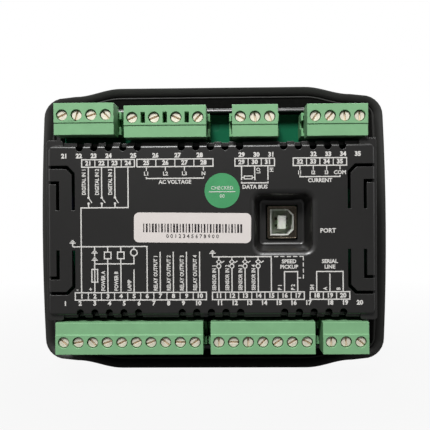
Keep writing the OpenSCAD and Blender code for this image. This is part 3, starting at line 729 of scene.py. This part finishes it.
def letters(shape, text, x, z, height=DIGIT, turn=0, y=BACK, weight=PLAIN, front=False, width=1.0,
            align="CENTER"):
    """Generic printed words and numbers, turned in degrees."""
    curve = bpy.data.curves.new("letters", "FONT")
    curve.body = text
    curve.size = height / CAPITAL_SHARE * MM
    curve.align_x = align
    curve.align_y = "CENTER"
    curve.extrude = INK * MM
    curve.offset = weight * MM
    curve.resolution_u = LETTER_STEPS
    piece = bpy.data.objects.new("letters", curve)
    bpy.context.scene.collection.objects.link(piece)
    bpy.context.view_layer.update()
    mesh = bpy.data.meshes.new_from_object(piece.evaluated_get(bpy.context.evaluated_depsgraph_get()))
    place = Matrix.Translation(plate_point(x, z, y)) @ Matrix.Rotation(math.pi if front else 0, 4, "Z")
    place = place @ Matrix.Rotation(math.radians(90), 4, "X")
    place = place @ Matrix.Rotation(math.radians(turn), 4, "Z")
    place = place @ Matrix.Diagonal((width, 1, 1, 1))
    mesh.transform(place)
    shape.from_mesh(mesh)
    bpy.data.objects.remove(piece)
    bpy.data.curves.remove(curve)
    bpy.data.meshes.remove(mesh)


def finish_print(shape, name, material, body="case"):
    mesh = bpy.data.meshes.new(name)
    bmesh.ops.recalc_face_normals(shape, faces=shape.faces)
    shape.to_mesh(mesh)
    shape.free()
    add_piece(name, mesh, material, body)


# Heights of the boxes with the terminal numbers, of the words beside their lines and of the outer numbers
CELL_H = 2.6
TOP_LOW = 22.0
TOP_WORD = 21.4
TOP_NUMBER = 25.85
LOW_TOP = -21.6
LOW_WORD = -21.1
LOW_LOW = -24.3
LOW_NUMBER = -25.5
WORD_GAP = 1.55
# First number, left end and width of its box, place of its outer number, distance to the next outer number
TOP_ROWS = {"inputs": (21, -44.85, 4.61, -50.95, 5.16), "voltage": (25, -25.6, 6.62, -26.8, 7.7),
            "bus": (29, 8.5, 4.56, 10.85, 5.12), "current": (32, 28.65, 4.6, 35.65, 5.09)}
LOW_ROWS = {"power": (1, -47.4, 4.57, -50.9, 5.15), "sensors": (11, 0.4, 4.54, 3.0, 5.09),
            "serial": (18, 34.2, 4.55, 41.1, 5.1)}


def numbered_row(shape, block, row, low, outer_z):
    """A row of boxes with the terminal numbers, and the same numbers beside the terminals."""
    first, left, cell_w, outer, outer_pitch = row
    count = BLOCKS[block]
    frame_box(shape, left, left + count * cell_w, low, low + CELL_H)
    for i in range(1, count):
        stroke(shape, [(left + i * cell_w, low), (left + i * cell_w, low + CELL_H)], FINE_LINE)
    centres = [left + cell_w * (i + 0.5) for i in range(count)]
    for i, x in enumerate(centres):
        letters(shape, str(first + i), x, low + CELL_H / 2, weight=BOLD)
        letters(shape, str(first + i), outer + i * outer_pitch, outer_z, weight=BOLD)
    return centres


# Height of each bar of the ground symbol and half its length
EARTH_BARS = ((0, 1.1), (0.45, 0.7), (0.9, 0.3))
EARTH_STEM = 1.2


def earth(shape, x, z):
    """Ground symbol: three bars that narrow upwards, with a stem below."""
    for rise, half in EARTH_BARS:
        stroke(shape, [(x - half, z + rise), (x + half, z + rise)], FINE_LINE)
    stroke(shape, [(x, z), (x, z - EARTH_STEM)])


def bracket(shape, x0, x1, z, rise):
    stroke(shape, [(x0, z + rise), (x0, z), (x1, z), (x1, z + rise)])


def upright(shape, text, x, z, align="LEFT"):
    """A word that reads upwards, starting or ending at this height."""
    letters(shape, text, x, z, WORD, turn=90, width=UPRIGHT_WIDTH, align=align)


STEM_END = 20.5
NAME_Z = 19.5
TOP_BRACKET_RISE = 0.5


def named_group(shape, centres, names, title, bracket_z, title_z):
    """Names under a row of boxes, with a bracket and the group's own name below them."""
    for x, name in zip(centres, names):
        stroke(shape, [(x, TOP_LOW), (x, STEM_END)], FINE_LINE)
        letters(shape, name, x, NAME_Z, WORD)
    bracket(shape, centres[0], centres[-1], bracket_z, TOP_BRACKET_RISE)
    letters(shape, title, (centres[0] + centres[-1]) / 2, title_z, WORD)


TITLE_ROWS = (-11.2, -13.1)
LOW_BRACKET_Z = -14.7
LOW_BRACKET_RISE = -6.9
INNER_LINE_TOP = -15.4


def titled_bracket(shape, title, title_x, centres, names):
    """Two rows of words over a bracket that reaches down to the boxes, and names beside its lines."""
    for word, z in zip(title, TITLE_ROWS):
        letters(shape, word, title_x, z, WORD)
    bracket(shape, centres[0], centres[-1], LOW_BRACKET_Z, LOW_BRACKET_RISE)
    for x in centres[1:-1]:
        stroke(shape, [(x, INNER_LINE_TOP), (x, LOW_TOP)])
    for x, name in zip(centres, names):
        upright(shape, name, x - WORD_GAP, LOW_WORD)


ink = bmesh.new()
inputs, voltage, bus, current = [numbered_row(ink, block, row, TOP_LOW, TOP_NUMBER)
                                 for block, row in TOP_ROWS.items()]
power, sensors, serial = [numbered_row(ink, block, row, LOW_LOW, LOW_NUMBER)
                          for block, row in LOW_ROWS.items()]

# Switched inputs with their common line
SWITCH_LINE_END = 11.5
SWITCH_TOP = 11.4
SWITCH_LOW = 9.3
SWITCH_ARM_X = 1.2
SWITCH_ARM_Z = 9.5
SWITCH_R = 0.42
COMMON_Z = 7.85
COMMON_X = -45.2
for i, x in enumerate(inputs[:3]):
    stroke(ink, [(x, TOP_LOW), (x, SWITCH_LINE_END)])
    disc(ink, x, SWITCH_TOP, SWITCH_R)
    stroke(ink, [(x, SWITCH_TOP), (x + SWITCH_ARM_X, SWITCH_ARM_Z)], FINE_LINE)
    disc(ink, x, SWITCH_LOW, SWITCH_R)
    stroke(ink, [(x, SWITCH_LOW), (x, COMMON_Z)])
    upright(ink, f"DIGITAL IN {i + 1}", x - WORD_GAP, TOP_WORD, "RIGHT")
stroke(ink, [(inputs[3], TOP_LOW), (inputs[3], COMMON_Z), (COMMON_X, COMMON_Z), (COMMON_X, LOW_TOP)])

# Voltage, bus with its end resistor, and current
BUS_LINE_END = 17.1
BUS_BRACKET_Z = 16.1
BUS_TITLE_Z = 14.7
BUS_WORD_GAP = 1.3
RESISTOR_Z = 18.0
RESISTOR_HALF_H = 0.5
RESISTOR_LEAD = 0.9
resistor_left = bus[0] + RESISTOR_LEAD
resistor_right = bus[1] - RESISTOR_LEAD
named_group(ink, voltage, ["L1", "L2", "L3", "N"], "AC VOLTAGE", bracket_z=17.9, title_z=16.6)
for x in bus:
    stroke(ink, [(x, TOP_LOW), (x, BUS_LINE_END)])
frame_box(ink, resistor_left, resistor_right, RESISTOR_Z - RESISTOR_HALF_H, RESISTOR_Z + RESISTOR_HALF_H,
          FINE_LINE)
stroke(ink, [(bus[0], RESISTOR_Z), (resistor_left, RESISTOR_Z)], FINE_LINE)
stroke(ink, [(resistor_right, RESISTOR_Z), (bus[1], RESISTOR_Z)], FINE_LINE)
for x, name in zip(bus[1:], ["LO", "HI"]):
    upright(ink, name, x + BUS_WORD_GAP, TOP_WORD, "RIGHT")
bracket(ink, bus[0], bus[2], BUS_BRACKET_Z, TOP_BRACKET_RISE)
letters(ink, "DATA BUS", bus[1], BUS_TITLE_Z, WORD)
named_group(ink, current, ["I1", "I2", "I3", "COM"], "CURRENT", bracket_z=18.1, title_z=16.8)

# Supply with its battery and fuse, and outputs with two coils and a lamp
EARTH_X = -48.2
EARTH_Z = -4.4
EARTH_LINE = -5.7
BATTERY_CELLS = (-7.9, -10.4)
BATTERY_TOP = -6.9
SUPPLY_LINE = -11.7
FUSE_HALF_W = 1.0
FUSE_HIGH = -13.6
FUSE_LOW = -18.0
COIL_HALF_W = 1.15
COIL_HIGH = -7.6
COIL_LOW = -9.9
LAMP_Z = -7.8
LAMP_R = 1.15
LAMP_HIGH = -6.6
LAMP_LOW = -9.0
LAMP_LINE_TOP = -13.7
OUTPUT_TOP = -7.6
POLE_GAP = 1.5
POLE_Z = -20.6
battery = power[1]
lamp = power[4]
earth(ink, EARTH_X, EARTH_Z)
stroke(ink, [(EARTH_X, EARTH_LINE), (power[5], EARTH_LINE), (power[5], LOW_TOP)])
for z in BATTERY_CELLS:
    earth(ink, battery, z)
stroke(ink, [(battery, EARTH_LINE), (battery, BATTERY_TOP)])
stroke(ink, [(battery, SUPPLY_LINE), (battery, LOW_TOP)])
stroke(ink, [(battery, SUPPLY_LINE), (lamp, SUPPLY_LINE), (lamp, LAMP_LOW)])
frame_box(ink, battery - FUSE_HALF_W, battery + FUSE_HALF_W, FUSE_LOW, FUSE_HIGH)
for x, name in zip(power[2:4], ["POWER A", "POWER B"]):
    stroke(ink, [(x, EARTH_LINE), (x, COIL_HIGH)])
    frame_box(ink, x - COIL_HALF_W, x + COIL_HALF_W, COIL_LOW, COIL_HIGH)
    stroke(ink, [(x, COIL_LOW), (x, LOW_TOP)])
    upright(ink, name, x - WORD_GAP, LOW_WORD)
ring(ink, lamp, LAMP_Z, LAMP_R, LINE)
stroke(ink, [(lamp, EARTH_LINE), (lamp, LAMP_HIGH)])
stroke(ink, [(lamp, LAMP_LINE_TOP), (lamp, LOW_TOP)])
upright(ink, "LAMP", lamp - WORD_GAP, LOW_WORD)
for i, x in enumerate(power[6:]):
    stroke(ink, [(x, OUTPUT_TOP), (x, LOW_TOP)])
    upright(ink, f"RELAY OUTPUT {i + 1}", x - WORD_GAP, LOW_WORD)
for x, pole in zip(power, "-+"):
    letters(ink, pole, x - POLE_GAP, POLE_Z, WORD)

# Sensors, each with a diamond, a ring and a slanted mark on its line, and the dashed screen beside them
SENSOR_EARTH_X = 0.5
SENSOR_EARTH_Z = -8.2
SENSOR_LINE = -9.45
DIAMOND_HIGH = -10.4
DIAMOND_Z = -11.2
DIAMOND_LOW = -12.0
DIAMOND_HALF_W = 0.8
SENSOR_RING_Z = -12.7
SENSOR_RING_R = 0.7
SENSOR_LEAD_TOP = -13.4
MARK_START = (0.9, -11.6)
MARK_END = (1.9, -10.9)
DASH = 1.4
DASHES_ACROSS = 5
DASH_STEP_ACROSS = 2.2
DASHES_DOWN = 4
DASH_STEP_DOWN = 2.1
SCREEN_START = 1.0
SCREEN_X = 31.9
SCREEN_LOW = -16.9
SCREEN_LEAD = 1.2
PICKUP_X = 27.0
PORT_X = 40.5
PORT_Z = -0.6
earth(ink, SENSOR_EARTH_X, SENSOR_EARTH_Z)
stroke(ink, [(SENSOR_EARTH_X, SENSOR_LINE), (sensors[4], SENSOR_LINE), (sensors[4], LOW_TOP)])
for i, x in enumerate(sensors[:4]):
    stroke(ink, [(x, SENSOR_LINE), (x, DIAMOND_HIGH)])
    stroke(ink, [(x, DIAMOND_HIGH), (x + DIAMOND_HALF_W, DIAMOND_Z), (x, DIAMOND_LOW),
                 (x - DIAMOND_HALF_W, DIAMOND_Z)], FINE_LINE, closed=True)
    ring(ink, x, SENSOR_RING_Z, SENSOR_RING_R)
    stroke(ink, [(x, SENSOR_LEAD_TOP), (x, LOW_TOP)])
    stroke(ink, [(x + MARK_START[0], MARK_START[1]), (x + MARK_END[0], MARK_END[1])], FINE_LINE)
    upright(ink, f"SENSOR IN {i + 1}", x - WORD_GAP, LOW_WORD)
for i in range(DASHES_ACROSS):
    x = sensors[4] + SCREEN_START + i * DASH_STEP_ACROSS
    stroke(ink, [(x, SENSOR_LINE), (x + DASH, SENSOR_LINE)], FINE_LINE)
for i in range(DASHES_DOWN):
    z = SENSOR_LINE - i * DASH_STEP_DOWN
    stroke(ink, [(SCREEN_X, z), (SCREEN_X, z - DASH)], FINE_LINE)
stroke(ink, [(sensors[6], SCREEN_LOW), (sensors[6] + SCREEN_LEAD, SCREEN_LOW)], FINE_LINE)
titled_bracket(ink, ["SPEED", "PICKUP"], PICKUP_X, sensors[5:], ["P 1", "P 2"])
titled_bracket(ink, ["SERIAL", "LINE"], serial[1], serial, ["SH", "A", "B"])
letters(ink, "PORT", PORT_X, PORT_Z)
finish_print(ink, "terminal_print", "ink")


# Bars and plain digits on the white label

LABEL_TURN = -0.75
BARS = 33
BAR_H = 3.0
BAR_SPAN = 34.9
BAR_STEP = BAR_SPAN / BARS
BAR_DROP = 0.15
BAR_WIDTHS = (0.3, 0.75, 0.35, 0.55, 0.95, 0.3, 0.6)
DIGITS_DROP = 3.0
DIGITS_WEIGHT = 0.03


def middle(node):
    """Middle of a CAD node, across and up."""
    low, high = box_mm(node)
    return (low.x + high.x) / 2, (low.z + high.z) / 2


bars = bmesh.new()
label_x, label_z = middle("id_label")
label_y = box_mm("id_label")[0].y
for i in range(BARS):
    half = BAR_STEP * BAR_WIDTHS[i * i * 3 % len(BAR_WIDTHS)] / 2
    x = label_x - BAR_SPAN / 2 + BAR_STEP * (i + 0.5)
    slope = (x - label_x) * math.tan(math.radians(LABEL_TURN))
    low = label_z + slope - BAR_DROP - BAR_H / 2
    high = low + BAR_H
    slab(bars, [(x - half, low), (x + half, low), (x + half, high), (x - half, high)], label_y)
letters(bars, "0 0 1 2 3 4 5 6 7 8 9 0 0", label_x, label_z - DIGITS_DROP, WORD, LABEL_TURN, label_y,
        DIGITS_WEIGHT)
finish_print(bars, "label_bars", "black_ink")


# A word, a line and two noughts on the round sticker

SEAL_LINE = 0.25
SEAL_LINE_HALF = 4.6
SEAL_LINE_DROP = 0.4
SEAL_WORD = 1.2
SEAL_WORD_RISE = 0.9
SEAL_DIGITS_DROP = 1.9
seal = bmesh.new()
sticker_x, sticker_z = middle("round_sticker")
sticker_y = box_mm("round_sticker")[0].y
seal_z = sticker_z - SEAL_LINE_DROP
seal_line = [(sticker_x - SEAL_LINE_HALF, seal_z), (sticker_x + SEAL_LINE_HALF, seal_z)]
stroke(seal, seal_line, SEAL_LINE, sticker_y)
letters(seal, "CHECKED", sticker_x, sticker_z + SEAL_WORD_RISE, SEAL_WORD, y=sticker_y, weight=0.0)
letters(seal, "00", sticker_x, sticker_z - SEAL_DIGITS_DROP, SEAL_WORD, y=sticker_y, weight=0.0)
finish_print(seal, "sticker_line", "ink")


# Printing on the front: frame of the display, words under the keys, signs on the keys

FACE = box_mm("face_overlay")[1].y
DISH_R = 24.0
DISH_DEPTH = 0.3
SIGN_LINE = 0.7
SIGN_STEP = 0.4
LEGEND = 2.3
LEGEND_DROP = 9.6
# From the edge of the display module to its view, and from there back to the printed frame
VIEW_FRAME = 5.0
VIEW_MARGIN = 2.2


def along(points, closed=False):
    """The same line with points close enough to follow a key's finger dish."""
    ends = points[1:] + points[:1] if closed else points[1:]
    fine = []
    for (x0, z0), (x1, z1) in zip(points, ends):
        count = math.ceil(math.hypot(x1 - x0, z1 - z0) / SIGN_STEP)
        fine += [(x0 + (x1 - x0) * i / count, z0 + (z1 - z0) * i / count) for i in range(count)]
    return fine if closed else fine + [points[-1]]


def add_sign(key, lines, closed=False):
    """A white sign that lies in the finger dish of its key, drawn as a person at the display sees it."""
    centre_x, centre_z = middle(key)
    top = box_mm(key)[1].y
    sign = bmesh.new()
    for points in lines:
        stroke(sign, along([(-x, z) for x, z in points], closed), SIGN_LINE, top, closed)
    for vertex in sign.verts:
        radius = math.hypot(vertex.co.x, vertex.co.z) / MM
        drop = max(DISH_DEPTH - DISH_R + math.sqrt(DISH_R ** 2 - radius ** 2), 0)
        vertex.co += Vector((centre_x, -drop, centre_z)) * MM
    finish_print(sign, key + "_sign", "ink", key)


add_sign("key_stop", [circle_points(0, 0, 2.3, 32)], True)
add_sign("key_start", [[(0, -2.3), (0, 2.3)]])
add_sign("key_manual", [[(-1.7, -1.9), (-1.7, 1.9), (0, -0.3), (1.7, 1.9), (1.7, -1.9)]])
add_sign("key_auto", [[(-1.8, -1.9), (0, 2.0), (1.8, -1.9)], [(-0.9, -0.6), (0.9, -0.6)]])
add_sign("key_up", [[(-1.7, -1.2), (1.7, -1.2), (0, 1.7)]], True)
add_sign("key_down", [[(-1.7, 1.2), (1.7, 1.2), (0, -1.7)]], True)
add_sign("key_enter", [[(1.7, 1.6), (1.7, -0.4), (-1.7, -0.4)], [(-0.6, 0.8), (-1.8, -0.4), (-0.6, -1.6)]])

legends = bmesh.new()
view_low, view_high = box_mm("display_module")
inset = VIEW_FRAME - VIEW_MARGIN
frame_box(legends, view_low.x + inset, view_high.x - inset, view_low.z + inset, view_high.z - inset, y=FACE)
for key, word in zip(CONTROL_KEYS, ["STOP", "MANUAL", "AUTO", "START"]):
    x, z = middle(key)
    letters(legends, word, x, z - LEGEND_DROP, LEGEND, y=FACE, front=True)
finish_print(legends, "front_print", "ink")


# Stage

FLOOR_SIZE = 6.0
FLOOR_DROP = 0.3
FLOOR_GREY = srgb(96, 96, 96)
# Share of white that the camera sees near the object, and where it starts and ends to grow, in metres
FLOOR_WHITE = 0.92
FADE_START = 0.08
FADE_END = 0.4
FLOOR_GLEAM = 0.1


def floor_material():
    """Grey floor that looks nearly white to the camera and keeps a faint shadow near the object."""
    material, tree, shader = new_material("studio_floor")
    shader.inputs["Base Color"].default_value = FLOOR_GREY
    shader.inputs["Roughness"].default_value = 0.8
    shader.inputs["Specular IOR Level"].default_value = 0.1
    white = tree.nodes.new("ShaderNodeEmission")
    white.inputs["Color"].default_value = WHITE
    place = tree.nodes.new("ShaderNodeTexCoord")
    distance = tree.nodes.new("ShaderNodeVectorMath")
    distance.operation = "LENGTH"
    tree.links.new(place.outputs["Object"], distance.inputs[0])
    fade = spread(tree, distance.outputs["Value"], FLOOR_WHITE, 1.0, FADE_START, FADE_END)
    path = tree.nodes.new("ShaderNodeLightPath").outputs
    gleam = combine(tree, "MULTIPLY", path["Is Glossy Ray"], FLOOR_GLEAM)
    clear = combine(tree, "ADD", gleam, path["Is Transmission Ray"])
    seen = combine(tree, "MAXIMUM", path["Is Camera Ray"], clear)
    share = combine(tree, "MULTIPLY", seen, fade)
    surface = blend_shaders(tree, share, shader.outputs["BSDF"], white.outputs["Emission"])
    tree.links.new(surface, tree.nodes["Material Output"].inputs["Surface"])
    return material


def add_floor():
    bpy.ops.mesh.primitive_plane_add(size=FLOOR_SIZE, location=(0, 0, cad_box[0][2] - FLOOR_DROP * MM))
    floor = bpy.context.object
    floor.name = "studio_floor"
    floor.data.materials.append(floor_material())


AMBIENT = 0.16
# Reflections of the world are dim straight behind the camera and grow to full towards the sides
MIRRORED_DIM = 0.04
DIM_SIDE = -0.95
FULL_SIDE = -0.3


def white_light(node, strength=1.0):
    node.inputs["Color"].default_value = WHITE
    node.inputs["Strength"].default_value = strength
    return node


def add_world():
    """Plain soft light from all around, white to look at, and in reflections dimmer behind the camera."""
    world = bpy.data.worlds.new("studio")
    bpy.context.scene.world = world
    world.use_nodes = True
    tree = world.node_tree
    ambient = white_light(tree.nodes["Background"], AMBIENT)
    mirrored = white_light(tree.nodes.new("ShaderNodeBackground"))
    white = white_light(tree.nodes.new("ShaderNodeBackground"))
    place = tree.nodes.new("ShaderNodeTexCoord")
    parts = tree.nodes.new("ShaderNodeSeparateXYZ")
    tree.links.new(place.outputs["Generated"], parts.inputs[0])
    side = spread(tree, parts.outputs["Y"], MIRRORED_DIM, 1.0, DIM_SIDE, FULL_SIDE)
    tree.links.new(side, mirrored.inputs["Strength"])
    path = tree.nodes.new("ShaderNodeLightPath").outputs
    seen = combine(tree, "MAXIMUM", path["Is Camera Ray"], path["Is Transmission Ray"])
    light = blend_shaders(tree, path["Is Glossy Ray"], ambient.outputs[0], mirrored.outputs[0])
    shown = blend_shaders(tree, seen, light, white.outputs[0])
    tree.links.new(shown, tree.nodes["World Output"].inputs["Surface"])


def add_lamp(name, place, width, height, power):
    """Rectangular lamp that points at the object, in metres and watts."""
    lamp = bpy.data.lights.new(name, "AREA")
    lamp.shape = "RECTANGLE"
    lamp.size = width
    lamp.size_y = height
    lamp.energy = power
    piece = bpy.data.objects.new(name, lamp)
    bpy.context.scene.collection.objects.link(piece)
    piece.location = place
    piece.rotation_euler = Vector(place).to_track_quat("Z", "Y").to_euler()


CAMERA_PLACE = (7.2, -279.9, 5.5)
CAMERA_YAW = 1.33
CAMERA_PITCH = 0.10
CAMERA_ROLL = -0.39
CAMERA_LENS = 59.62
CAMERA_SENSOR = 36.0
CAMERA_NEAR = 0.01


def add_camera():
    """Camera at the photograph's place, looking along +Y."""
    camera = bpy.data.cameras.new("photo_camera")
    camera.sensor_width = CAMERA_SENSOR
    camera.lens = CAMERA_LENS
    camera.clip_start = CAMERA_NEAR
    piece = bpy.data.objects.new("photo_camera", camera)
    bpy.context.scene.collection.objects.link(piece)
    level = Matrix(((1, 0, 0), (0, 0, -1), (0, 1, 0)))
    turn = Matrix.Rotation(math.radians(CAMERA_ROLL), 3, "Z")
    turn = turn @ Matrix.Rotation(math.radians(CAMERA_PITCH), 3, "X")
    turn = turn @ Matrix.Rotation(math.radians(CAMERA_YAW), 3, "Y") @ level
    facing = (Matrix.Diagonal((1, -1, -1)) @ turn).transposed()
    piece.matrix_world = Matrix.Translation(Vector(CAMERA_PLACE) * MM) @ facing.to_4x4()
    bpy.context.scene.camera = piece


add_floor()
add_world()
add_lamp("key_light", place=(-0.09, -0.62, 0.6), width=0.22, height=0.22, power=8.2)
add_lamp("back_light", place=(0.15, 0.7, 0.5), width=0.6, height=0.5, power=6.0)
add_camera()
bpy.context.scene.view_settings.view_transform = "Standard"
